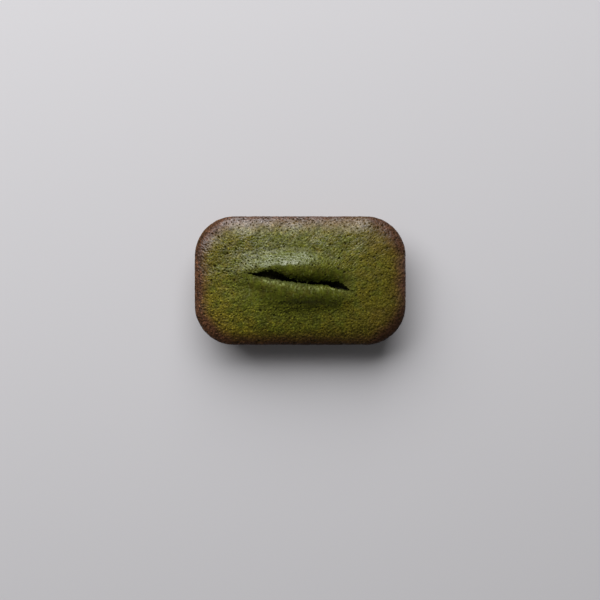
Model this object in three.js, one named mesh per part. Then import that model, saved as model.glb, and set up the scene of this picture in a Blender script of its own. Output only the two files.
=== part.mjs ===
// A financier: a small almond cake, green with powdered tea, baked in a shallow rounded mould.
// It is one solid, lofted through closed sections that start at the flat base, climb the moulded
// side, roll over the browned shoulder, cross the domed top and run down into the split along it.
// Millimetres, +Z up. X is the long way, Y the short way, and the origin is the middle of the base.
import * as THREE from "three";
import { LoftGeometry } from "three/addons/geometries/LoftGeometry.js";

// The moulded body
const LENGTH = 82; // along X at the rim line, the widest level
const WIDTH = 50; // along Y at the rim line
const CORNER_RADIUS = 15.5; // of the rim line, seen from above
const RIM_HEIGHT = 14; // of the rim line, where the mould's edge was
const DRAFT = 4.5; // how far a straight side would lie inside the rim line at the base
const BASE_ROUND = 3.2; // radius between base and side

// The risen top, before it split
const SHOULDER_INSET = 8; // width of the shoulder that rolls over above the rim line
const SHOULDER_RISE = 2.6; // height of that shoulder
const DOME_RISE = 3.5; // of the whole top, from its edge to its middle

// Slow waves over the top: height, radians for each millimetre along X and Y, and start
const WAVES = [
  { size: 0.07, alongX: 0.31, alongY: 0.43, start: 0.5 },
  { size: 0.07, alongX: 0.19, alongY: -0.52, start: 2 },
];

// The split: a line from tip to tip, and how far the dough gapes to each side of it.
// A negative size is a bulge into the split.
const WEST_TIP = new THREE.Vector2(-20.3, 2.8);
const EAST_TIP = new THREE.Vector2(19.2, -3.8);
const NORTH_GAPES = [
  { size: 2.2, from: WEST_TIP.x, to: -5, lean: 1.75 },
  { size: 0.7, from: -8, to: 0, lean: 1 },
  { size: 2.2, from: -2, to: EAST_TIP.x, lean: 2.2 },
];
const SOUTH_GAPES = [
  { size: 0.5, from: WEST_TIP.x, to: 4, lean: 0.9 },
  { size: -0.6, from: 5, to: 13, lean: 1 },
];
const LEAST_GAPE = 0.25; // of each side, away from the tips
const SPLIT_DEPTH = 6; // below the north edge at the middle
const TIP_DEPTH = 0.6; // below the north edge at the tips
const FLOOR_LEAN = 0.06; // where the floor lies, from the south edge to the north one

// The hump that the split opened: a north half and a south half, each with its own crest
const NORTH_HUMP = { rise: 4, middle: -4.5, reach: 24 };
const SOUTH_HUMP = { rise: 4.6, middle: 1, reach: 22 };
const NORTH_CREST = 6.1; // Y of the north crest at its middle
const CREST_MIDDLE = -1; // X of that middle
const CREST_BEND = 0.006; // how strongly the crest bends south towards its ends
const NORTH_FLANK = { width: 6.6, lean: 1, rounding: 0.5 }; // from the crest to the foot
const SOUTH_FLANK = { lean: 1.35, rounding: 1 };
const SOUTH_FOOT = -12.7; // Y of the south foot at the middle of the cake
const SOUTH_FOOT_SLOPE = 0.08;
const SOUTH_LIP = 2.6; // from the south edge of the split back to the south crest
const LIP_DROP = 0.7; // how far the south lip rounds down to the split
const BANK = { size: 0.6, from: WEST_TIP.x, to: 21.5, lean: 1.1 }; // drop as a share of its width
const BANK_CURVE = 2.5; // how much steeper the bank gets towards the split
const TIP_BLEND = 4; // over this distance the two halves merge beyond the tips
const TIP_FADE = 0.75; // how evenly the lip and the depth die out towards the tips

// The flap that rolls over the west half of the south lip
const FLAP = { size: 1, from: -27, to: -4, lean: 1.2 };
const FLAP_FLANK = { lean: 2, rounding: 1 };
const FLAP_FOOT = -9.4; // Y of the flap's foot, carried on to the middle of the cake
const FLAP_FOOT_SLOPE = -0.3;

// Sections, and points around each
const AROUND = 112;
const BASE_STEPS = 3;
const WALL_STEPS = 3;
const SHOULDER_STEPS = 6;
const TOP_STEPS = 19;
const TOP_CROWDING = 1.4; // how much closer the top's sections lie at the split
const SPLIT_STEPS = 3;

const CRUST_COLOUR = 0x5d5a24;
const CRUST_ROUGHNESS = 0.6;

const { clamp, lerp, smoothstep } = THREE.MathUtils;

// The rim line, counter-clockwise from the east end of the long axis.
function makeRimLine() {
  const x = LENGTH / 2 - CORNER_RADIUS;
  const y = WIDTH / 2 - CORNER_RADIUS;
  const corners = [[x, y], [-x, y], [-x, -y], [x, -y]];
  const line = new THREE.Path().moveTo(LENGTH / 2, 0);
  corners.forEach(([cx, cy], quarter) => {
    const start = (quarter * Math.PI) / 2;
    line.absarc(cx, cy, CORNER_RADIUS, start, start + Math.PI / 2);
  });
  line.closePath();
  return line;
}

// The rim line moved inwards along its own normals, at one height.
function moulded(rim, inset, z) {
  return rim.map(({ point, normal }) => {
    const moved = point.clone().addScaledVector(normal, -inset);
    return new THREE.Vector3(moved.x, moved.y, z);
  });
}

// Base edge and drafted side, as [inset, height] from the base up to the rim line.
function sideProfile() {
  const lean = Math.atan2(DRAFT, RIM_HEIGHT);
  const wallFoot = BASE_ROUND * (1 - Math.sin(lean));
  const wallInset = (RIM_HEIGHT - wallFoot) * Math.tan(lean);
  const roundCentre = wallInset + BASE_ROUND * Math.cos(lean);
  const profile = [];
  for (let i = 0; i <= BASE_STEPS; i++) {
    const angle = (i / BASE_STEPS) * (Math.PI / 2 - lean);
    profile.push([
      roundCentre - BASE_ROUND * Math.sin(angle),
      BASE_ROUND * (1 - Math.cos(angle)),
    ]);
  }
  for (let i = 1; i <= WALL_STEPS; i++) {
    const share = i / WALL_STEPS;
    profile.push([wallInset * (1 - share), lerp(wallFoot, RIM_HEIGHT, share)]);
  }
  return profile;
}

// A half wave from one X to another that leans towards one of them.
function halfWave(x, { size, from, to, lean }) {
  const along = clamp((x - from) / (to - from), 0, 1);
  return size * Math.sin(Math.PI * along ** lean);
}

// How far one side gapes at x.
function gape(x, waves) {
  return waves.reduce((sum, wave) => sum + halfWave(x, wave), LEAST_GAPE);
}

// The straight line between the tips, and the split's two edges, as Y over X.
function splitLine(x) {
  const along = (x - WEST_TIP.x) / (EAST_TIP.x - WEST_TIP.x);
  return lerp(WEST_TIP.y, EAST_TIP.y, along);
}

function northEdge(x) {
  return splitLine(x) + gape(x, NORTH_GAPES);
}

function southEdge(x) {
  return splitLine(x) - gape(x, SOUTH_GAPES);
}

// How far x is inside the split: 0 at and beyond the tips, 1 at its middle.
function withinSplit(x) {
  const along = clamp((x - WEST_TIP.x) / (EAST_TIP.x - WEST_TIP.x), 0, 1);
  return Math.sin(Math.PI * along);
}

// Where x lies along one half of the hump: 1 at its middle, 0 at and beyond its ends.
function alongHump(x, { middle, reach }) {
  return 1 - clamp(Math.abs(x - middle) / reach, 0, 1) ** 2;
}

// How much of a height is left at a distance down its flank: a straight slope or a rounded one.
function flank(distance, width, { lean, rounding }) {
  const share = clamp(distance / Math.max(width, LEAST_GAPE), 0, 1) ** lean;
  return 1 - lerp(share, smoothstep(share, 0, 1), rounding);
}

function northCrest(x) {
  return NORTH_CREST - CREST_BEND * (x - CREST_MIDDLE) ** 2;
}

// North half: a flank down to an oval foot, and a bank that falls from the crest into the split.
function northHump(x, y) {
  const along = alongHump(x, NORTH_HUMP);
  const crest = NORTH_HUMP.rise * along ** 2;
  const beyond = y - northCrest(x);
  if (beyond >= 0) return crest * flank(beyond, NORTH_FLANK.width * Math.sqrt(along), NORTH_FLANK);
  const bank = Math.max(northCrest(x) - northEdge(x), LEAST_GAPE);
  const share = clamp(-beyond / bank, 0, 1);
  return crest - halfWave(x, BANK) * bank * share ** BANK_CURVE;
}

function flap(x, y) {
  const edge = southEdge(x);
  const foot = FLAP_FOOT + FLAP_FOOT_SLOPE * x;
  return halfWave(x, FLAP) * flank(edge - y, edge - foot, FLAP_FLANK);
}

// South half: a lip that rounds down to the split, and a flank down to the foot.
function southHump(x, y) {
  const crest = SOUTH_HUMP.rise * alongHump(x, SOUTH_HUMP) ** 2;
  const back = southEdge(x) - SOUTH_LIP;
  const foot = SOUTH_FOOT + SOUTH_FOOT_SLOPE * x;
  if (y <= back) return crest * flank(back - y, back - foot, SOUTH_FLANK) + flap(x, y);
  const share = clamp((y - back) / SOUTH_LIP, 0, 1);
  return crest - LIP_DROP * withinSplit(x) ** TIP_FADE * share ** 2 + flap(x, y);
}

// Both halves, merged beyond the tips and kept apart beside the split.
function hump(x, y) {
  const blend = LEAST_GAPE + TIP_BLEND * (1 - withinSplit(x));
  const northShare = smoothstep(y - splitLine(x), -blend, blend);
  return lerp(southHump(x, y), northHump(x, y), northShare);
}

function dome(x, y) {
  return DOME_RISE * (1 - ((2 * x) / LENGTH) ** 2) * (1 - ((2 * y) / WIDTH) ** 2);
}

function waves(x, y) {
  return WAVES.reduce((sum, { size, alongX, alongY, start }) => {
    return sum + size * Math.sin(alongX * x + alongY * y + start);
  }, 0);
}

// Height of the top inside the shoulder.
function topHeight(x, y) {
  return RIM_HEIGHT + SHOULDER_RISE + dome(x, y) + hump(x, y) + waves(x, y);
}

// The shoulder's sections roll from upright at the rim line to the slope of the dome.
function shoulderSections(rim) {
  return Array.from({ length: SHOULDER_STEPS }, (_, i) => {
    const angle = ((i + 1) / SHOULDER_STEPS) * (Math.PI / 2);
    const inset = SHOULDER_INSET * (1 - Math.cos(angle));
    const section = moulded(rim, inset, RIM_HEIGHT + SHOULDER_RISE * Math.sin(angle));
    for (const p of section) {
      p.z += Math.sin(angle) ** 2 * (dome(p.x, p.y) + hump(p.x, p.y) + waves(p.x, p.y));
    }
    return section;
  });
}

// The split's mouth, one point for each point of the rim: along the north edge from the east tip
// to the west one, and back along the south edge.
function mouthPoint(i) {
  const half = AROUND / 2;
  if (i % half === 0) return i === 0 ? EAST_TIP.clone() : WEST_TIP.clone();
  const north = i < half;
  const along = north ? i / half : 2 - i / half;
  const x = lerp(EAST_TIP.x, WEST_TIP.x, along);
  return new THREE.Vector2(x, north ? northEdge(x) : southEdge(x));
}

// The top's sections change from the rounded shoulder to the mouth of the split.
function topSections(shoulder) {
  return Array.from({ length: TOP_STEPS }, (_, step) => {
    const share = 1 - (1 - (step + 1) / TOP_STEPS) ** TOP_CROWDING;
    return shoulder.map((outer, i) => {
      const at = new THREE.Vector2(outer.x, outer.y).lerp(mouthPoint(i), share);
      return new THREE.Vector3(at.x, at.y, topHeight(at.x, at.y));
    });
  });
}

// The split's walls drop from the mouth and close in on a line along its floor.
function splitSections(mouth) {
  return Array.from({ length: SPLIT_STEPS }, (_, step) => {
    const share = (step + 1) / SPLIT_STEPS;
    return mouth.map((lip) => {
      const middle = lerp(southEdge(lip.x), northEdge(lip.x), FLOOR_LEAN);
      const depth = lerp(TIP_DEPTH, SPLIT_DEPTH, withinSplit(lip.x) ** TIP_FADE);
      const floor = topHeight(lip.x, northEdge(lip.x)) - depth;
      return new THREE.Vector3(lip.x, lerp(lip.y, middle, share ** 2), lerp(lip.z, floor, share));
    });
  });
}

function cakeGeometry() {
  const line = makeRimLine();
  const rim = Array.from({ length: AROUND }, (_, i) => {
    const tangent = line.getTangent(i / AROUND);
    return { point: line.getPoint(i / AROUND), normal: new THREE.Vector2(tangent.y, -tangent.x) };
  });
  const side = sideProfile().map(([inset, z]) => moulded(rim, inset, z));
  const shoulder = shoulderSections(rim);
  const top = topSections(shoulder.at(-1));
  const split = splitSections(top.at(-1));
  return new LoftGeometry([...side, ...shoulder, ...top, ...split], { capStart: true });
}

const crust = new THREE.MeshStandardMaterial({
  color: CRUST_COLOUR,
  roughness: CRUST_ROUGHNESS,
  metalness: 0,
});
const cake = new THREE.Mesh(cakeGeometry(), crust);
cake.name = "financier";

const financier = new THREE.Group();
financier.add(cake);

export default financier;
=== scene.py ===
import math
from collections import namedtuple

import bmesh
import bpy
import numpy as np
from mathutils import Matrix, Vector, kdtree, noise


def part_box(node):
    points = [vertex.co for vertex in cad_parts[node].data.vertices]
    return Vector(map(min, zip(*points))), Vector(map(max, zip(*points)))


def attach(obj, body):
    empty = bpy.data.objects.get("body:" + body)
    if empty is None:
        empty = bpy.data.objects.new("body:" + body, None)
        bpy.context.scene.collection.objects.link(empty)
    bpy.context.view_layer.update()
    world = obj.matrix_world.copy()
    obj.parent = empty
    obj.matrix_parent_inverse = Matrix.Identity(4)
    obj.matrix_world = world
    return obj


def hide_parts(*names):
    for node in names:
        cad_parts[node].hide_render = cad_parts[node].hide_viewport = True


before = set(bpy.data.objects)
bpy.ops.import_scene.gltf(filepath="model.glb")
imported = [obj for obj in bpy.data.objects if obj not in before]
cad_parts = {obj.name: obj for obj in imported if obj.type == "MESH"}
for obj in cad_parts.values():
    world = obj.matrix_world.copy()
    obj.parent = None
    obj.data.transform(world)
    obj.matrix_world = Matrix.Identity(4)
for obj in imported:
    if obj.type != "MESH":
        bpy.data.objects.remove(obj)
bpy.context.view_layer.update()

LOW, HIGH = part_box("financier")
MM = 0.001
SEED = 11
SMALL = 1e-6

Wave = namedtuple("Wave", "size along_x along_y start")
Gape = namedtuple("Gape", "size start end lean")
Hump = namedtuple("Hump", "rise middle reach lean")
Tear = namedtuple("Tear", "size length")
Pits = namedtuple("Pits", "count spacing radius spread depth stretch")
Grain = namedtuple("Grain", "amount size seed")
Span = namedtuple("Span", "start end fade")
Crust = namedtuple("Crust", "at east marks fine near chance smoothness moulded")

# The moulded body
LENGTH = (HIGH.x - LOW.x) / MM
WIDTH = (HIGH.y - LOW.y) / MM
CORNER_RADIUS = 15.5
RIM_HEIGHT = 14.0
DRAFT = 4.5
BASE_ROUND = 3.2

# The risen top, before it split
SHOULDER_INSET = 8.0
SHOULDER_RISE = 2.6
DOME_RISE = 3.5
WAVES = (Wave(0.07, 0.31, 0.43, 0.5), Wave(0.07, 0.19, -0.52, 2.0))

# The split: tips, and how far each side gapes
WEST_TIP = (-20.3, 2.8)
EAST_TIP = (19.2, -3.8)
NORTH_GAPES = (
    Gape(2.2, WEST_TIP[0], -5.0, 1.75),
    Gape(0.7, -8.0, 0.0, 1.0),
    Gape(2.2, -2.0, EAST_TIP[0], 2.2),
)
SOUTH_GAPES = (Gape(0.5, WEST_TIP[0], 4.0, 0.9), Gape(-0.6, 5.0, 13.0, 1.0))
LEAST_GAPE = 0.25
SPLIT_DEPTH = 6.0
TIP_DEPTH = 0.6
FLOOR_LEAN = 0.06

# The hump's halves
NORTH_HUMP = Hump(4.0, -4.5, 24.0, 1.0)
SOUTH_HUMP = Hump(4.6, 1.0, 22.0, 1.35)
NORTH_CREST = 6.1
CREST_MIDDLE = -1.0
CREST_BEND = 0.006
NORTH_FLANK = 6.6
NORTH_FLANK_ROUND = 0.5
SOUTH_FOOT = -12.7
SOUTH_FOOT_SLOPE = 0.08
SOUTH_LIP = 2.6
LIP_DROP = 0.7
BANK = Gape(0.6, WEST_TIP[0], 21.5, 1.1)
BANK_CURVE = 2.5
TIP_BLEND = 4.0
TIP_FADE = 0.75

# The flap that rolls over the west half of the south lip
FLAP = Gape(1.0, -27.0, -4.0, 1.2)
FLAP_FOOT = -9.4
FLAP_FOOT_SLOPE = -0.3
FLAP_LEAN = 2.0

# The torn edges of the split, calmer at its tips
TEARS = (Tear(0.4, 3.1), Tear(0.45, 1.3), Tear(0.45, 0.5))
NORTH_TEAR_START = 1.3
SOUTH_TEAR_START = 4.1
SOUTH_TEAR_SHARE = 0.6
TEAR_FADE = 3
ROOM_FADE = 6
LEAST_STEEPNESS = 0.7

# Sections of the skin, and points around each
AROUND = 800
BASE_STEPS = 4
WALL_STEPS = 18
SHOULDER_STEPS = 26
ARC_POINTS = 100
TOP_STEPS = 68
TOP_CROWDING = 1.1
TEAR_CROWDING = 4
SPLIT_STEPS = 6
BASE_RING = 0.4
SIDE, SHOULDER, TOP, SPLIT = range(4)
MARKS = ("edge", "corner", "far", "skin", "sleek", "polish", "rim_shade", "deep", "torn", "fringe", "pit")

# Pits of the crust: large holes and fine pricks on top, and the holes left by bubbles at the mould.
# Depth is a share of the radius, and stretch is how much longer than wide a pit may be.
HOLES = Pits(1500, 0.9, 0.26, 0.22, 1.3, 1.8)
PRICKS = Pits(3600, 0.5, 0.21, 0.25, 0.9, 1.8)
SIDE_HOLES = Pits(1000, 0.8, 0.25, 0.3, 0.5, 2.0)
PICKS_PER_PIT = 3
PIT_DEPTH_RANGE = (0.6, 1.2)
PIT_ROUNDING = 1.5
# Pit depth at which the painted shade in a pit is darkest
DARKEST_PIT = 0.4

# Pits are shallower at the rim line, so that the outline isn't notched
CLEAR_LINE = 0.2
CLEAR_REACH = 1.2
CLEAR_DEPTH = 0.6

# Fine relief: how high, how long and which noise
LUMPS = (Grain(0.11, 2.5, 1),)
CRUST_GRAIN = (Grain(0.08, 1.6, 2), Grain(0.035, 0.85, 3))
STREAKS = (Grain(0.1, (0.6, 4.0, 4.0), 4), Grain(0.05, 1.1, 12))
TORN_GRAIN = (Grain(0.12, (0.6, 1.4, 1.4), 7), Grain(0.28, 1.2, 11))
CRUMB = (Grain(0.35, 0.9, 8),)
SEED_STEP = (17.3, 5.1, 9.7)

# The crease where the south half bulges over the crust
FOLD_PLACE = -9.2
FOLD_WIDTH = 0.9
FOLD_DEPTH = 0.35
FOLD_SPAN = Span(-12, 10, 6)
FOLD_WANDER = (Grain(0.5, 3.0, 13),)

# How far the browning reaches in: more at the corners and the west end, less on the long sides,
# and more gradually at the east end
CORNER_BROWNING = 0.25
WEST_BROWNING = 0.018
NORTH_PALENESS = 0.03
SOUTH_PALENESS = 0.06
EAST_SPREAD = 0.65
EAST_START = 1.6
EAST_FADE = 25

# The smooth skin beside the split, with uneven borders
SOUTH_SKIN = Span(-25, 21, 6)
NORTH_SKIN = Span(-14, 22, 5)
SOUTH_SKIN_SHARE = 0.8
PAST_CREST = 0.4
SKIN_BORDER = (Grain(0.35, 2.4, 5), Grain(0.25, 1.0, 6))

# The sleek outer slope of the north half
SLEEK_MIDDLE = -5.5
SLEEK_LENGTH = 15
SLEEK_WIDTH = 3.2
SLEEK_OUT = 2.4
SLEEK_CORE = 1.2
SLEEK_BORDER = (Grain(0.5, 2.2, 9), Grain(0.4, 0.9, 10))

# The frayed strip and the torn crumb along the split's edges
FRINGE_SPAN = Span(-22, 19, 5)
NORTH_TORN = 2.2
SOUTH_TORN = 1.6

# The green middle: its shift to the west, and how much distance across the width counts
GREEN_SHIFT = 0.1
ACROSS_SHARE = 0.8


# Shape of the cake, as functions of X and Y

def blend(a, b, share):
    return a + (b - a) * share


def smooth(share):
    share = np.clip(share, 0, 1)
    return share * share * (3 - 2 * share)


def rise(value, start, end):
    """0 at the start value and 1 at the end value, easing between them."""
    return smooth((value - start) / (end - start))


def gape(x, side):
    """A half wave from start to end that leans towards one of them."""
    along = np.clip((x - side.start) / (side.end - side.start), 0, 1)
    return side.size * np.sin(np.pi * along ** side.lean)


def along_split(x):
    return (x - WEST_TIP[0]) / (EAST_TIP[0] - WEST_TIP[0])


def split_line(x):
    return blend(WEST_TIP[1], EAST_TIP[1], along_split(x))


def north_edge(x):
    return split_line(x) + LEAST_GAPE + sum(gape(x, side) for side in NORTH_GAPES)


def south_edge(x):
    return split_line(x) - LEAST_GAPE - sum(gape(x, side) for side in SOUTH_GAPES)


def within_split(x):
    return np.sin(np.pi * np.clip(along_split(x), 0, 1))


def along_hump(x, half):
    return 1 - np.clip(np.abs(x - half.middle) / half.reach, 0, 1) ** 2


def flank(distance, width, lean, rounding=1.0):
    """1 at the crest and 0 at the foot: a straight slope, or a rounded one."""
    share = np.clip(distance / np.maximum(width, LEAST_GAPE), 0, 1) ** lean
    return 1 - blend(share, smooth(share), rounding)


def north_crest(x):
    return NORTH_CREST - CREST_BEND * (x - CREST_MIDDLE) ** 2


def bank_width(x):
    return np.maximum(north_crest(x) - north_edge(x), LEAST_GAPE)


def north_hump(x, y):
    along = along_hump(x, NORTH_HUMP)
    crest = NORTH_HUMP.rise * along ** 2
    width = NORTH_FLANK * np.sqrt(along)
    beyond = y - north_crest(x)
    outer = crest * flank(beyond, width, NORTH_HUMP.lean, NORTH_FLANK_ROUND)
    share = np.clip(-beyond / bank_width(x), 0, 1)
    return np.where(beyond >= 0, outer, crest - gape(x, BANK) * bank_width(x) * share ** BANK_CURVE)


def south_foot(x):
    return SOUTH_FOOT + SOUTH_FOOT_SLOPE * x


def flap(x, y):
    edge = south_edge(x)
    foot = FLAP_FOOT + FLAP_FOOT_SLOPE * x
    return gape(x, FLAP) * flank(edge - y, edge - foot, FLAP_LEAN)


def south_hump(x, y):
    crest = SOUTH_HUMP.rise * along_hump(x, SOUTH_HUMP) ** 2
    back = south_edge(x) - SOUTH_LIP
    outer = crest * flank(back - y, back - south_foot(x), SOUTH_HUMP.lean)
    share = np.clip((y - back) / SOUTH_LIP, 0, 1)
    drop = LIP_DROP * within_split(x) ** TIP_FADE * share ** 2
    return np.where(y <= back, outer, crest - drop) + flap(x, y)


def hump(x, y):
    reach = LEAST_GAPE + TIP_BLEND * (1 - within_split(x))
    north_share = smooth((y - split_line(x) + reach) / (2 * reach))
    return blend(south_hump(x, y), north_hump(x, y), north_share)


def dome(x, y):
    return DOME_RISE * (1 - (2 * x / LENGTH) ** 2) * (1 - (2 * y / WIDTH) ** 2)


def waves(x, y):
    return sum(w.size * np.sin(w.along_x * x + w.along_y * y + w.start) for w in WAVES)


def risen(x, y):
    return dome(x, y) + hump(x, y) + waves(x, y)


def top_height(x, y):
    return RIM_HEIGHT + SHOULDER_RISE + risen(x, y)


# Sections of the skin

def rim_line():
    """Centre and direction of the rim at each point: rim = centre + radius * direction."""
    a = LENGTH / 2 - CORNER_RADIUS
    b = WIDTH / 2 - CORNER_RADIUS
    quarter = math.pi / 2 * CORNER_RADIUS
    runs = np.cumsum([0, b, quarter, 2 * a, quarter, 2 * b, quarter, 2 * a, quarter, b])
    turn = np.array([0, 0, 1, 1, 2, 2, 3, 3, 4, 4]) * math.pi / 2
    centre_x = [a, a, a, -a, -a, -a, -a, a, a, a]
    centre_y = [0, b, b, b, b, -b, -b, -b, -b, 0]
    s = np.arange(AROUND) / AROUND * runs[-1]
    angle = np.interp(s, runs, turn)
    centre = np.stack([np.interp(s, runs, centre_x), np.interp(s, runs, centre_y)], 1)
    return centre, np.stack([np.cos(angle), np.sin(angle)], 1)


def ring(rim, inset, z):
    centre, direction = rim
    flat = centre + (CORNER_RADIUS - inset) * direction
    return np.column_stack([flat, np.broadcast_to(z, len(flat))])


def side_sections(rim):
    lean = math.atan2(DRAFT, RIM_HEIGHT)
    foot = BASE_ROUND * (1 - math.sin(lean))
    wall_inset = (RIM_HEIGHT - foot) * math.tan(lean)
    round_centre = wall_inset + BASE_ROUND * math.cos(lean)
    sections = [ring(rim, round_centre + BASE_RING, 0)]
    for i in range(BASE_STEPS + 1):
        angle = i / BASE_STEPS * (math.pi / 2 - lean)
        inset = round_centre - BASE_ROUND * math.sin(angle)
        sections.append(ring(rim, inset, BASE_ROUND * (1 - math.cos(angle))))
    for i in range(1, WALL_STEPS + 1):
        share = i / WALL_STEPS
        sections.append(ring(rim, wall_inset * (1 - share), blend(foot, RIM_HEIGHT, share)))
    return sections


def shoulder_sections(rim):
    angles = np.linspace(0, math.pi / 2, ARC_POINTS)
    steps = np.hypot(np.diff(SHOULDER_INSET * np.cos(angles)), np.diff(SHOULDER_RISE * np.sin(angles)))
    run = np.append(0, np.cumsum(steps))
    sections = []
    for i in range(1, SHOULDER_STEPS + 1):
        angle = np.interp(i / SHOULDER_STEPS * run[-1], run, angles)
        inset = SHOULDER_INSET * (1 - math.cos(angle))
        section = ring(rim, inset, RIM_HEIGHT + SHOULDER_RISE * math.sin(angle))
        section[:, 2] += math.sin(angle) ** 2 * risen(section[:, 0], section[:, 1])
        sections.append(section)
    return sections


def tear(x, start):
    """Uneven line of a torn edge: offsets over X."""
    total = np.zeros(len(x))
    for wave in TEARS:
        total += wave.size * np.array([noise.noise((u / wave.length, start, wave.length)) for u in x])
    return total * np.minimum(1, TEAR_FADE * within_split(x))


def split_places():
    """X of each run of points at the split: from the east tip to the west one, and back."""
    half = AROUND // 2
    i = np.arange(AROUND)
    return blend(EAST_TIP[0], WEST_TIP[0], np.where(i <= half, i, AROUND - i) / half)


def mouth(shoulder):
    """The split's clean edge, its north side from the east tip to the west one and its south side
    back, and how far each point tears along its own run, so that neighbouring runs don't cross."""
    half = AROUND // 2
    x = split_places()
    on_north = np.arange(AROUND) < half
    north = north_edge(x) + tear(x, NORTH_TEAR_START)
    south = south_edge(x) + tear(x, SOUTH_TEAR_START) * SOUTH_TEAR_SHARE
    middle = (north + south) / 2
    room = LEAST_GAPE * np.minimum(1, ROOM_FADE * within_split(x))
    torn = np.where(on_north, np.maximum(north, middle + room), np.minimum(south, middle - room))
    clean = np.where(on_north, north_edge(x), south_edge(x))
    for tip, place in ((0, EAST_TIP), (half, WEST_TIP)):
        torn[tip] = clean[tip] = place[1]
    lips = np.stack([x, clean], 1)
    inward = lips - shoulder[:, :2]
    steepness = np.maximum(np.abs(inward[:, 1]), LEAST_STEEPNESS * np.linalg.norm(inward, axis=1))
    step = np.where(on_north, clean - torn, torn - clean) / steepness
    return lips, inward * step[:, None]


def top_sections(shoulder):
    lips, tears = mouth(shoulder)
    sections = []
    for i in range(1, TOP_STEPS + 1):
        share = 1 - (1 - i / TOP_STEPS) ** TOP_CROWDING
        flat = blend(shoulder[:, :2], lips, share) + tears * share ** TEAR_CROWDING
        sections.append(np.column_stack([flat, top_height(flat[:, 0], flat[:, 1])]))
    return sections


def split_sections(lip):
    x = split_places()
    middle = blend(south_edge(x), north_edge(x), FLOOR_LEAN)
    depth = blend(TIP_DEPTH, SPLIT_DEPTH, within_split(x) ** TIP_FADE)
    floor = top_height(x, north_edge(x)) - depth
    sections = []
    for i in range(1, SPLIT_STEPS + 1):
        share = i / SPLIT_STEPS
        across = blend(lip[:, 1], middle, share ** 2)
        along = blend(lip[:, 0], x, share)
        sections.append(np.column_stack([along, across, blend(lip[:, 2], floor, share)]))
    return sections


def skin_points():
    """Every section from the base to the split's floor, and the part of the cake that each is in."""
    rim = rim_line()
    side = side_sections(rim)
    shoulder = shoulder_sections(rim)
    top = top_sections(shoulder[-1])
    split = split_sections(top[-1])
    part = np.repeat([SIDE, SHOULDER, TOP, SPLIT], [len(side), len(shoulder), len(top), len(split)])
    return np.stack(side + shoulder + top + split), part


def skin_faces(rows):
    """Quads between neighbouring sections, and the base. The split's last section is one line."""
    half = AROUND // 2
    index = np.arange(rows * AROUND).reshape(rows, AROUND)
    index[-1, half + 1:] = index[-1, 1:half][::-1]
    after = np.roll(index, -1, axis=1)
    quads = np.stack([index[:-1], after[:-1], after[1:], index[1:]], -1).reshape(-1, 4)
    return quads, index[0, ::-1]


# What each place of the skin is like

def grain(points, layers):
    """Smooth seeded noise over the skin, in layers. A size is one length, or one for each axis."""
    total = np.zeros(len(points))
    for layer in layers:
        places = points / np.array(layer.size) + np.array(SEED_STEP) * layer.seed
        total += layer.amount * np.array([noise.noise(p) for p in places])
    return total


def corner_depth(x, y):
    """0 beside the straight sides, growing towards the corners."""
    qx = np.maximum(np.abs(x) - (LENGTH / 2 - CORNER_RADIUS), 0)
    qy = np.maximum(np.abs(y) - (WIDTH / 2 - CORNER_RADIUS), 0)
    return np.sqrt(qx * qy)


def edge_distance(x, y):
    """Distance inside the rim, seen from above, less where the cake browned further in."""
    qx = np.abs(x) - (LENGTH / 2 - CORNER_RADIUS)
    qy = np.abs(y) - (WIDTH / 2 - CORNER_RADIUS)
    outside = np.hypot(np.maximum(qx, 0), np.maximum(qy, 0)) + np.minimum(np.maximum(qx, qy), 0)
    corner = corner_depth(x, y) ** 2 / CORNER_RADIUS
    paleness = NORTH_PALENESS * np.maximum(y, 0) + SOUTH_PALENESS * np.maximum(-y, 0)
    uneven = paleness - WEST_BROWNING * np.maximum(-x, 0)
    distance = CORNER_RADIUS - outside - CORNER_BROWNING * corner + uneven
    return blend(distance, EAST_START + EAST_SPREAD * distance, rise(x, 0, EAST_FADE))


def along_between(x, span):
    """1 between two places along X, fading to 0 at them."""
    return rise(x, span.start, span.start + span.fade) * rise(x, span.end, span.end - span.fade)


def stretched_skin(points):
    """1 on the smooth skin that stretched as the cake split, fading to 0 on the porous crust."""
    x, y = points[:, 0], points[:, 1]
    uneven = grain(points, SKIN_BORDER)
    south = (south_edge(x) - y) / (SOUTH_SKIN_SHARE * (south_edge(x) - south_foot(x)))
    north = (y - north_edge(x)) / np.maximum(north_crest(x) + PAST_CREST - north_edge(x), 1)
    south_skin = rise(south - uneven, 1.15, 0.55) * along_between(x, SOUTH_SKIN)
    north_skin = rise(north - 0.6 * uneven, 1.05, 0.7) * along_between(x, NORTH_SKIN)
    return np.where(y > split_line(x), north_skin, south_skin)


def north_flank(points):
    """1 on the sleek outer slope of the north half, fading unevenly to 0 away from it."""
    x, y = points[:, 0], points[:, 1]
    outward = y - north_crest(x) - SLEEK_OUT
    away = ((x - SLEEK_MIDDLE) / SLEEK_LENGTH) ** 2 + (outward / SLEEK_WIDTH) ** 2
    return smooth(SLEEK_CORE - away + grain(points, SLEEK_BORDER))


def rim_polish(edge, corner, x, y):
    """Gloss of the rim's inner part: strong and wide at the north, faint at the south, and less at
    the corners, most so at the east ones."""
    reach = blend(6.5, 9.6, rise(y, 8, 20))
    start = blend(-0.6, -1.8, rise(y, 14, 22) * rise(corner, 5, 0))
    band = rise(edge, reach, 2.5) * rise(edge, start, start + 2)
    north = blend(0.2, 0.94, rise(y, -4, 18))
    south = blend(0.4, 1, rise(y, -22, -12))
    corners = blend(1, blend(0.95, 0.5, rise(x, -10, 10)), rise(corner, 0, 8))
    return band * south * corners * north


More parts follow.
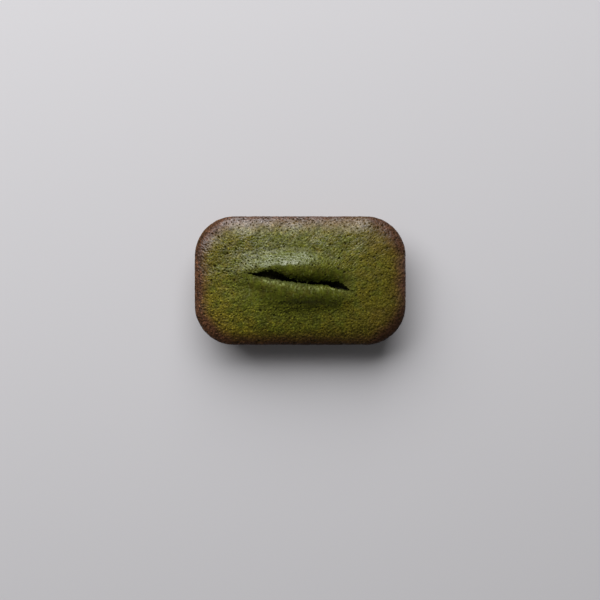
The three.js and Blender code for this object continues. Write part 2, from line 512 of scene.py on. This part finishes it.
def butter(edge, corner, x, y):
    """Gloss of the crust inside the rim: at the north, and more at the west, less in the corners."""
    north = 0.4 * rise(y, -4, 14)
    west = 0.22 * rise(x, 0, -25) * rise(y, -16, -1)
    return (north + west) * rise(edge, -1, 2) * blend(1, 0.7, rise(corner, 0, 5))


def browned_corner(corner, x, y):
    """The depth of the corners, less at the north-west one and more at the east ones."""
    north_west = blend(1, 0.5, rise(x, 0, -20) * rise(y, 0, 10))
    return corner * north_west * blend(1, 1.7, rise(x, 0, 20))


def south_rim_shade(edge, x, y):
    """1 where shade is painted on the rim, along the south side, less at its west end."""
    band = rise(edge, 6.5, 2) * rise(edge, -7, -1)
    return band * rise(y, -4, -20) * blend(0.4, 1, rise(x, -36, -20))


def lip_distance(sections, part):
    """Distance from the split's edge, seen from above, for every point of the top."""
    lips = sections[np.flatnonzero(part == TOP)[-1], :, :2]
    away = np.linalg.norm(sections[:, :, :2] - lips, axis=2)
    away[part == SPLIT] = 0
    away[part < TOP] = LENGTH
    return away.ravel()


def lip_fringe(x, y, away):
    """1 on the pale frayed strip along the south lip, a little back from its edge."""
    reach = blend(2.6, 4.0, rise(x, -8, 0))
    strip = rise(away, 0.5, 1.3) * rise(away, reach, 0.4 * reach) * (y < split_line(x))
    return strip * along_between(x, FRINGE_SPAN)


def torn_crumb(x, y, away):
    """1 at the split's edges, fading to 0 on the skin beside them and at the tips."""
    reach = np.where(y > split_line(x), NORTH_TORN, SOUTH_TORN)
    return rise(away, reach, 0) * smooth(TEAR_FADE * within_split(x))


def make_marks(sections, part):
    """Named values for every point of the skin, which the relief and the material both use."""
    points = sections.reshape(-1, 3)
    x, y, z = points.T
    kind = np.repeat(part, AROUND)
    rows_down = np.cumsum(part == SPLIT) / SPLIT_STEPS
    away = lip_distance(sections, part)
    edge = np.where(kind == SIDE, z - RIM_HEIGHT, edge_distance(x, y))
    corner = corner_depth(x, y)
    sleek = np.where(kind >= TOP, north_flank(points), 0)
    gloss = np.maximum(rim_polish(edge, corner, x, y), butter(edge, corner, x, y))
    return {
        "kind": kind,
        "base": z < SMALL,
        "edge": edge,
        "corner": browned_corner(corner, x, y),
        "far": np.hypot(2 * x / LENGTH + GREEN_SHIFT, 2 * ACROSS_SHARE * y / WIDTH),
        "skin": np.where(kind >= TOP, stretched_skin(points), 0),
        "sleek": sleek,
        "polish": np.maximum(sleek, gloss),
        # painted shade on the south rim
        "rim_shade": south_rim_shade(edge, x, y),
        "deep": np.repeat(rows_down, AROUND) * blend(0.5, 1, rise(x, -14, -4)),
        "torn": torn_crumb(x, y, away),
        "fringe": np.where(kind == TOP, lip_fringe(x, y, away), 0),
    }


# Relief of the crust

def scatter(weights, points, pits, rng):
    """Seeded choice of points that keep a least distance from each other."""
    cells = {}
    chosen = []
    steps = (-1, 0, 1)
    around = [(i, j, k) for i in steps for j in steps for k in steps]
    picks = rng.choice(len(points), size=pits.count * PICKS_PER_PIT, p=weights / weights.sum())
    for pick in picks:
        p = points[pick]
        cell = np.floor(p / pits.spacing).astype(int)
        near = (cells.get(tuple(cell + step)) for step in around)
        if any(q is not None and np.linalg.norm(points[q] - p) < pits.spacing for q in near):
            continue
        cells[tuple(cell)] = pick
        chosen.append(pick)
        if len(chosen) == pits.count:
            break
    return chosen


def pit_depths(points, normals, tree, centres, pits, rng):
    """How far each point sinks into the pits round it."""
    depth = np.zeros(len(points))
    for c in centres:
        radius = pits.radius * math.exp(rng.normal(0, pits.spread))
        stretch = rng.uniform(1, pits.stretch)
        along = np.cross(normals[c], rng.normal(size=3))
        along /= np.linalg.norm(along) + SMALL
        deep = radius * pits.depth * rng.uniform(*PIT_DEPTH_RANGE)
        found = [i for _, i, _ in tree.find_range(points[c], radius * stretch)]
        offset = points[found] - points[c]
        run = offset @ along
        reach = np.sqrt(np.maximum((offset ** 2).sum(1) - (1 - stretch ** -2) * run ** 2, 0)) / radius
        bowl = deep * np.clip(1 - reach ** 2, 0, 1) ** PIT_ROUNDING
        depth[found] = np.maximum(depth[found], bowl)
    return depth


def point_tree(points):
    tree = kdtree.KDTree(len(points))
    for i, p in enumerate(points):
        tree.insert(p, i)
    tree.balance()
    return tree


def hole_chance(points, marks):
    """More holes at the north, on its sleek slope and on the lit rim, fewer at the east."""
    x, y = points[:, 0], points[:, 1]
    lit_rim = rise(marks["edge"], 6, 2) * rise(y - 0.5 * x, -5, 15)
    chance = (1 + 0.8 * marks["sleek"]) * (1 + 2 * lit_rim) * (1 + rise(y, 0, 12))
    return chance * blend(1, 0.35, rise(x, -5, 25))


def all_pits(points, normals, marks, area, rng):
    """Depth of the pits at every point."""
    tree = point_tree(points)
    kind, skin = marks["kind"], marks["skin"]
    on_top = ((kind == SHOULDER) | (kind == TOP)) * area
    on_side = (kind == SIDE) * ~marks["base"] * area
    depth = np.zeros(len(points))
    for pits, where in (
            (HOLES, on_top * (1 - 0.97 * skin) * hole_chance(points, marks)),
            (PRICKS, on_top * (1 - 0.85 * np.maximum(skin, 0.4 * marks["sleek"]))),
            (SIDE_HOLES, on_side)):
        centres = scatter(where, points, pits, rng)
        depth = np.maximum(depth, pit_depths(points, normals, tree, centres, pits, rng))
    from_line = np.abs(marks["edge"] - CLEAR_LINE)
    return depth * blend(CLEAR_DEPTH, 1, rise(from_line, 0, CLEAR_REACH))


def fold(points):
    """Depth of the crease along the foot of the south half."""
    x, y = points[:, 0], points[:, 1]
    across = y - FOLD_PLACE - grain(points, FOLD_WANDER)
    return FOLD_DEPTH * np.exp(-(across / FOLD_WIDTH) ** 2) * along_between(x, FOLD_SPAN)


def bumps(points, marks):
    """Lumps and grain of the crust, streaks of the stretched skin, and the torn crumb."""
    kind, skin = marks["kind"], marks["skin"]
    smoothness = np.maximum(skin, 0.5 * marks["sleek"])
    rim = blend(0.75, 1, rise(marks["edge"], 0, 6))
    frayed = np.maximum(marks["torn"], 0.8 * marks["fringe"])
    lumps = grain(points, LUMPS) * (1 - 0.7 * skin) * rim
    crust = (kind != SPLIT) * (1 - 0.85 * smoothness) * rim * grain(points, CRUST_GRAIN)
    streaks = skin * (1 - marks["deep"]) * grain(points, STREAKS)
    torn = frayed * grain(points, TORN_GRAIN)
    crumb = (kind == SPLIT) * grain(points, CRUMB)
    return lumps + crust + streaks + torn + crumb - fold(points)


def point_areas(sections):
    across = np.linalg.norm(np.roll(sections, -1, 1) - sections, axis=2)
    down = np.linalg.norm(np.diff(sections, axis=0, append=sections[-1:]), axis=2)
    return (across * down).ravel()


def make_cake():
    rng = np.random.default_rng(SEED)
    sections, part = skin_points()
    quads, base = skin_faces(len(sections))
    points = sections.reshape(-1, 3)
    mesh = bpy.data.meshes.new("cake")
    mesh.from_pydata(points.tolist(), [], quads.tolist() + [base.tolist()])
    mesh.update()
    normals = np.empty(points.size)
    mesh.vertices.foreach_get("normal", normals)
    normals = normals.reshape(-1, 3)
    marks = make_marks(sections, part)
    depth = all_pits(points, normals, marks, point_areas(sections), rng)
    move = np.where(marks["base"], 0, bumps(points, marks) - depth)
    mesh.vertices.foreach_set("co", ((points + normals * move[:, None]) * MM).ravel())
    marks["pit"] = depth / DARKEST_PIT
    for name in MARKS:
        values = marks[name].astype(np.float32)
        mesh.attributes.new(name, "FLOAT", "POINT").data.foreach_set("value", values)
    mesh.polygons.foreach_set("use_smooth", np.ones(len(mesh.polygons), dtype=bool))
    mesh.update()
    drop_spare_points(mesh)
    return mesh


def drop_spare_points(mesh):
    """Drops the spare half of the split's last section, which no face uses."""
    bm = bmesh.new()
    bm.from_mesh(mesh)
    spare = [v for v in bm.verts if not v.link_faces]
    bmesh.ops.delete(bm, geom=spare, context="VERTS")
    bm.to_mesh(mesh)
    bm.free()


# Material

class Nodes:
    """Short calls for building a material's nodes."""

    def __init__(self, name):
        self.material = bpy.data.materials.new(name)
        self.material.use_nodes = True
        self.tree = self.material.node_tree
        self.shader = self.tree.nodes["Principled BSDF"]

    def add(self, kind, **values):
        node = self.tree.nodes.new(kind)
        for key, value in values.items():
            if key in node.inputs:
                node.inputs[key].default_value = value
            else:
                setattr(node, key, value)
        return node

    def link(self, source, target):
        self.tree.links.new(source, target)

    def feed(self, value, socket):
        if isinstance(value, bpy.types.NodeSocket):
            self.link(value, socket)
        else:
            socket.default_value = value

    def math(self, operation, a, b=0.0, c=0.0):
        node = self.add("ShaderNodeMath", operation=operation)
        for socket, value in zip(node.inputs, (a, b, c)):
            self.feed(value, socket)
        return node.outputs[0]

    def times(self, *values):
        """The product of several values."""
        product = values[0]
        for value in values[1:]:
            product = self.math("MULTIPLY", product, value)
        return product

    def attribute(self, name):
        return self.add("ShaderNodeAttribute", attribute_name=name).outputs["Fac"]

    def along(self, vector, direction):
        """How far a place lies along a direction."""
        node = self.add("ShaderNodeVectorMath", operation="DOT_PRODUCT")
        self.link(vector, node.inputs[0])
        node.inputs[1].default_value = direction
        return node.outputs["Value"]

    def scaled(self, vector, factors):
        node = self.add("ShaderNodeVectorMath", operation="MULTIPLY")
        self.link(vector, node.inputs[0])
        node.inputs[1].default_value = factors
        return node.outputs[0]

    def noise(self, vector, scale, detail=2.0, rough=0.5):
        node = self.add("ShaderNodeTexNoise", Scale=scale, Detail=detail, Roughness=rough)
        self.link(vector, node.inputs["Vector"])
        return node.outputs["Fac"]

    def cells(self, vector, scale):
        """Distance to the middle of the nearest cell, and one random value for each cell."""
        node = self.add("ShaderNodeTexVoronoi", Scale=scale)
        self.link(vector, node.inputs["Vector"])
        split = self.add("ShaderNodeSeparateColor")
        self.link(node.outputs["Color"], split.inputs[0])
        return node.outputs["Distance"], split.outputs[0]

    def between(self, value, low, high, to_low=0.0, to_high=1.0):
        node = self.add("ShaderNodeMapRange", interpolation_type="SMOOTHSTEP")
        limits = {"From Min": low, "From Max": high, "To Min": to_low, "To Max": to_high}
        for name, number in limits.items():
            node.inputs[name].default_value = number
        self.feed(value, node.inputs["Value"])
        return node.outputs["Result"]

    def ramp(self, value, stops, reach):
        """Colours at distances from 0 to reach."""
        node = self.add("ShaderNodeValToRGB")
        elements = node.color_ramp.elements
        while len(elements) < len(stops):
            elements.new(1.0)
        for element, (distance, colour) in zip(elements, stops):
            element.position = distance / reach
            element.color = (*colour, 1)
        self.link(self.math("DIVIDE", value, reach), node.inputs["Fac"])
        return node.outputs["Color"]

    def mix(self, share, a, b, mode="MIX"):
        node = self.add("ShaderNodeMix", data_type="RGBA", blend_type=mode)
        self.feed(share, node.inputs["Factor"])
        for name, value in (("A", a), ("B", b)):
            socket = [s for s in node.inputs if s.name == name and s.type == "RGBA"][0]
            self.feed((*value, 1) if isinstance(value, tuple) else value, socket)
        return [s for s in node.outputs if s.type == "RGBA"][0]

    def shade(self, colour, amount):
        """A colour made lighter or darker by one value."""
        grey = self.add("ShaderNodeCombineColor")
        for socket in grey.inputs:
            self.feed(amount, socket)
        return self.mix(1.0, colour, grey.outputs[0], "MULTIPLY")


GREEN = (0.097, 0.102, 0.007)
YELLOW = (0.124, 0.104, 0.006)
OLIVE = (0.121, 0.089, 0.007)
TAN = (0.112, 0.065, 0.011)
BROWN = (0.089, 0.038, 0.017)
DARK_BROWN = (0.028, 0.010, 0.002)
# Painted shade: the dark brown laid on the south rim
PAINTED_SHADE_BROWN = (0.021, 0.008, 0.002)
SIDE_BROWN = (0.088, 0.045, 0.013)
STRETCHED = (0.066, 0.077, 0.005)
SLEEK = (0.103, 0.124, 0.021)
# Painted shade in the pits
PIT_SHADE = (0.018, 0.014, 0.002)
# Torn crumb, partly darkened as painted shade at the split's edges
TORN_CRUMB_AND_SHADE = (0.034, 0.043, 0.004)
FRINGE = (0.240, 0.270, 0.095)
BANK_BROWN = (0.055, 0.044, 0.006)
# Crumb darkened with painted shade deep in the split
DEEP_CRUMB_AND_SHADE = (0.026, 0.026, 0.005)
# Painted shade, nearly black, at the bottom of the split
SPLIT_SHADE = (0.004, 0.004, 0.001)
# Painted sheen: lightens the east rim and tints it blue
EAST_SHEEN_TINT = (1.23, 1.25, 1.7)
SOUTH_EAST = (0.5, -0.87, 0)
SOUTH_WEST = (-0.7, -0.7, 0)
EAST = (1, 0, 0)
RIM_REACH = 8.0
RIM_COLOURS = ((0.0, BROWN), (1.8, BROWN), (3.6, TAN), (5.3, OLIVE), (8.0, YELLOW))
FINE_SCALE = 1.7
FINE_RANGE = (0.38, 0.72)
CELL_SCALE = 1.05
CELL_RANGE = (0.15, 0.65)
EAST_RANGE = (-5, 25)
BUMP_STRENGTH = 0.9
BUMP_DEPTH = 0.34
CRUST_SHADER = {
    "Roughness": 0.6,
    "IOR": 1.5,
    "Specular IOR Level": 0.1,
    "Coat Roughness": 0.32,
    "Coat IOR": 1.6,
}


def crust_inputs(n):
    """The values that the crust's colour, sheen and bump are made from. Places are in millimetres."""
    place = n.add("ShaderNodeVectorMath", operation="SCALE", Scale=1 / MM)
    n.link(n.add("ShaderNodeTexCoord").outputs["Object"], place.inputs[0])
    at = place.outputs[0]
    marks = {name: n.attribute(name) for name in MARKS}
    moulded = n.between(marks["edge"], 0, -3)
    smoothness = n.math("MAXIMUM", moulded, marks["skin"])
    for name, share in (("sleek", 0.6), ("rim_shade", 0.8)):
        smoothness = n.math("MAXIMUM", smoothness, n.times(marks[name], share))
    near, chance = n.cells(at, CELL_SCALE)
    fine = n.noise(at, FINE_SCALE, 2, 0.6)
    return Crust(at, n.along(at, EAST), marks, fine, near, chance, smoothness, moulded)


def baked_colour(n, crust):
    """Green in the middle, yellow further out and brown at the rim, with wandering borders."""
    marks = crust.marks
    drift = n.math("SUBTRACT", n.noise(crust.at, 0.28, 3), 0.5)
    rim = n.math("MULTIPLY_ADD", marks["corner"], -0.07, marks["edge"])
    rim = n.math("MULTIPLY_ADD", drift, 3.0, rim)
    outward = n.math("MULTIPLY_ADD", drift, -1.4, marks["far"])
    middle = n.mix(n.between(outward, 0.42, 0.88), GREEN, YELLOW)
    middle = n.mix(n.between(marks["corner"], 2, 6), middle, OLIVE)
    colour = n.mix(n.between(rim, 4, 8), n.ramp(rim, RIM_COLOURS, RIM_REACH), middle)
    return n.shade(colour, n.between(n.noise(crust.at, 0.35, 2), 0.3, 0.7, 0.8, 1.2))


def browned_colour(n, crust, colour):
    """Dark spots at the rim, a painted sheen at the east end, the brown of the moulded side, and
    painted shade on the south rim.
    """
    marks = crust.marks
    spots = n.times(
        n.between(n.noise(crust.at, 0.6, 4, 0.6), 0.5, 0.75, 0, 0.5),
        n.between(marks["edge"], 6, 1),
        n.between(marks["polish"], 0.3, 0.8, 1.0, 0.5))
    colour = n.mix(spots, colour, DARK_BROWN)
    # Painted sheen on the east rim, lighter and bluer
    east_sheen = n.times(
        n.between(crust.east, 24, 34),
        n.between(marks["edge"], 5.5, 3.5),
        n.between(marks["corner"], 5, 0))
    colour = n.mix(east_sheen, colour, n.mix(1.0, colour, EAST_SHEEN_TINT, "MULTIPLY"))
    colour = n.mix(n.times(crust.moulded, 0.7), colour, SIDE_BROWN)
    # Painted shade along the south rim
    return n.mix(n.times(marks["rim_shade"], 0.65), colour, PAINTED_SHADE_BROWN)


def stretched_colour(n, crust, colour):
    """The streaky skin beside the split, and the sleek north slope."""
    streaks = n.noise(n.scaled(crust.at, (1.3, 0.25, 0.25)), 1.0, 3)
    skin = n.mix(n.between(streaks, 0.45, 0.7, 0, 0.7), STRETCHED, BANK_BROWN)
    skin = n.mix(n.between(n.noise(crust.at, 0.3, 2), 0.5, 0.62, 0, 0.55), skin, BANK_BROWN)
    skin = n.shade(skin, n.between(n.noise(crust.at, 0.45, 2), 0.35, 0.65, 0.75, 1.3))
    colour = n.mix(n.times(crust.marks["skin"], 0.85), colour, skin)
    return n.mix(n.times(crust.marks["sleek"], 0.8), colour, SLEEK)


def patchy_and_shaded_colour(n, crust, colour):
    """Paler and darker patches, painted shade that darkens the south and east sides away from the
    window, and paler at the south-west.
    """
    colour = n.shade(colour, n.between(n.noise(crust.at, 0.8, 3), 0.3, 0.7, 0.85, 1.15))
    # Painted shade: darker towards the south-east and east, away from the window
    colour = n.shade(colour, n.between(n.along(crust.at, SOUTH_EAST), -6, 30, 1.05, 0.82))
    colour = n.shade(colour, n.between(crust.east, 10, 30, 1.0, 0.93))
    return n.shade(colour, n.between(n.along(crust.at, SOUTH_WEST), 20, 29, 1.0, 1.12))


def grainy_colour(n, crust, colour):
    """Coarse grain of the rim, calmer on the painted shade of the south rim, where it is glossy, and
    to the east.
    """
    marks = crust.marks
    share = n.times(
        n.between(marks["edge"], 5, 1.5),
        n.between(marks["rim_shade"], 0, 1, 1.0, 0.2),
        n.between(marks["edge"], -1.5, 0.5),
        n.between(crust.east, *EAST_RANGE, 1.0, 0.4),
        n.between(marks["polish"], 0.2, 0.8, 1.0, 0.3))
    coarse = n.between(n.noise(crust.at, 1.4, 1), 0.3, 0.7, 0.5, 1.6)
    return n.mix(share, colour, n.shade(colour, coarse))


def speckled_and_shaded_colour(n, crust, colour):
    """Fine speckle of the crust with painted shade in the gaps between its granules, calmer where it
    is smooth or glossy and to the east.
    """
    speckled_and_shaded = n.shade(colour, n.between(crust.fine, *FINE_RANGE, 0.74, 1.5))
    # Painted shade: darker in the gaps between the granules, lighter on their tops
    speckled_and_shaded = n.shade(speckled_and_shaded, n.between(crust.near, *CELL_RANGE, 1.2, 0.75))
    grains = n.times(n.between(crust.chance, 0.8, 0.9), n.between(crust.near, 0.45, 0.2))
    speckled_and_shaded = n.shade(speckled_and_shaded, n.between(grains, 0, 1, 1.0, 1.4))
    contrast = n.times(
        n.between(crust.east, *EAST_RANGE, 1.0, 0.66),
        n.between(crust.smoothness, 0, 1, 1.0, 0.55),
        n.between(crust.moulded, 0, 1, 1.0, 0.6),
        n.between(crust.marks["skin"], 0, 1, 1.0, 0.6),
        n.between(crust.marks["polish"], 0.45, 0.7, 1.0, 0.75))
    return n.mix(contrast, colour, speckled_and_shaded)


def opened_colour(n, crust, colour):
    """Pale flecks of the skin, painted shade in the pits, torn crumb partly darkened as painted shade,
    the frayed lip, and painted shade inside the split.
    """
    marks = crust.marks
    flecks = n.between(n.noise(n.scaled(crust.at, (1.5, 0.6, 0.6)), 1.0, 2), 0.6, 0.7, 0, 0.3)
    colour = n.mix(n.times(flecks, marks["skin"]), colour, FRINGE)
    # Painted shade in the pits
    colour = n.mix(n.between(marks["pit"], 0.06, 0.6, 0, 0.75), colour, PIT_SHADE)
    # Torn crumb at the split's edges, partly painted shade
    colour = n.mix(n.times(marks["torn"], 0.8), colour, TORN_CRUMB_AND_SHADE)
    ticks = n.between(n.noise(n.scaled(crust.at, (1.3, 0.7, 0.7)), 1.0, 3, 0.6), 0.48, 0.6)
    patches = n.between(n.noise(crust.at, 0.3, 2), 0.35, 0.6, 0.4, 1.0)
    colour = n.mix(n.times(ticks, patches, marks["fringe"]), colour, FRINGE)
    # Painted shade inside the split, darkening to nearly black
    colour = n.mix(n.between(marks["deep"], 0.0, 0.2), colour, DEEP_CRUMB_AND_SHADE)
    return n.mix(n.between(marks["deep"], 0.25, 0.8), colour, SPLIT_SHADE)


def crust_colour(n, crust):
    colour = baked_colour(n, crust)
    colour = browned_colour(n, crust, colour)
    colour = stretched_colour(n, crust, colour)
    colour = patchy_and_shaded_colour(n, crust, colour)
    colour = grainy_colour(n, crust, colour)
    colour = speckled_and_shaded_colour(n, crust, colour)
    return opened_colour(n, crust, colour)


def crust_sheen(n, crust):
    """Buttery gloss: some on the whole crust, most at the rim and the north slope, least in holes."""
    polish = crust.marks["polish"]
    specks = n.math("SUBTRACT", n.between(crust.fine, *FINE_RANGE, 0.5, 2.0), 1.0)
    weight = n.times(
        n.between(polish, 0, 1, 0.08, 1.0),
        n.between(n.noise(crust.at, 0.16, 2), 0.35, 0.65, 0.6, 1.4),
        n.math("MULTIPLY_ADD", specks, n.between(polish, 0.1, 0.7, 1.0, 0.3), 1.0),
        n.between(crust.near, *CELL_RANGE, 1.2, 0.7))
    for name, end, most in (("pit", 0.5, 0.1), ("deep", 0.1, 0.0), ("skin", 1.0, 0.4)):
        weight = n.times(weight, n.between(crust.marks[name], 0, end, 1.0, most))
    return weight


def crust_bump(n, crust):
    """Fine roughness of the crust, calmer where it is smooth."""
    rough = n.math("ADD", n.times(crust.near, -1.2), crust.fine)
    rough = n.math("ADD", rough, n.noise(crust.at, 0.8, 2))
    height = n.times(
        rough,
        n.between(crust.smoothness, 0, 1, 1.0, 0.7),
        n.between(crust.moulded, 0, 1, 1.0, 0.6),
        n.between(crust.marks["skin"], 0, 1, 1.0, 0.6))
    bump = n.add("ShaderNodeBump", Strength=BUMP_STRENGTH, Distance=BUMP_DEPTH * MM)
    n.link(height, bump.inputs["Height"])
    return bump.outputs[0]


def crust_material():
    n = Nodes("crust")
    crust = crust_inputs(n)
    n.link(crust_colour(n, crust), n.shader.inputs["Base Color"])
    n.link(crust_sheen(n, crust), n.shader.inputs["Coat Weight"])
    n.link(crust_bump(n, crust), n.shader.inputs["Normal"])
    for name, value in CRUST_SHADER.items():
        n.shader.inputs[name].default_value = value
    return n.material


# Stage

FLOOR_COLOUR = (0.60, 0.59, 0.61)
FLOOR_ROUGHNESS = 0.8
FLOOR_REACH = 2.0
WINDOW_WIDTH, WINDOW_HEIGHT = 1.5, 1.0
WINDOW_DISTANCE = 1.0
WINDOW_TURN = math.radians(-18)
WINDOW_RISE = math.radians(42)
WINDOW_POWER = 19
SKY_STRENGTH = 0.1
CAMERA_LENS = 100
CAMERA_PLACE = (-0.00008, -0.00754, 0.662)


def add_object(name, data):
    thing = bpy.data.objects.new(name, data)
    bpy.context.scene.collection.objects.link(thing)
    return thing


def make_floor():
    mesh = bpy.data.meshes.new("floor")
    r = FLOOR_REACH
    mesh.from_pydata([(-r, -r, 0), (r, -r, 0), (r, r, 0), (-r, r, 0)], [], [(0, 1, 2, 3)])
    n = Nodes("floor")
    n.shader.inputs["Base Color"].default_value = (*FLOOR_COLOUR, 1)
    n.shader.inputs["Roughness"].default_value = FLOOR_ROUGHNESS
    mesh.materials.append(n.material)
    add_object("floor", mesh)


def make_light():
    """A large soft window from the north and a little west, and faint light from all round."""
    light = bpy.data.lights.new("window", "AREA")
    light.shape = "RECTANGLE"
    light.size, light.size_y = WINDOW_WIDTH, WINDOW_HEIGHT
    light.energy = WINDOW_POWER
    lamp = add_object("window", light)
    level = math.cos(WINDOW_RISE)
    aim = Vector((level * math.sin(WINDOW_TURN), level * math.cos(WINDOW_TURN), math.sin(WINDOW_RISE)))
    lamp.location = aim * WINDOW_DISTANCE
    lamp.rotation_euler = (-aim).to_track_quat("-Z", "Y").to_euler()
    world = bpy.data.worlds.new("room")
    world.use_nodes = True
    sky = world.node_tree.nodes["Background"]
    sky.inputs["Color"].default_value = (1, 1, 1, 1)
    sky.inputs["Strength"].default_value = SKY_STRENGTH
    bpy.context.scene.world = world


def make_camera():
    camera = bpy.data.cameras.new("camera")
    camera.lens = CAMERA_LENS
    eye = add_object("camera", camera)
    eye.location = CAMERA_PLACE
    bpy.context.scene.camera = eye
    bpy.context.scene.view_settings.view_transform = "Standard"


def main():
    cake = add_object("cake", make_cake())
    cake.data.materials.append(crust_material())
    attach(cake, "root")
    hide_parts("financier")
    make_floor()
    make_light()
    make_camera()


main()
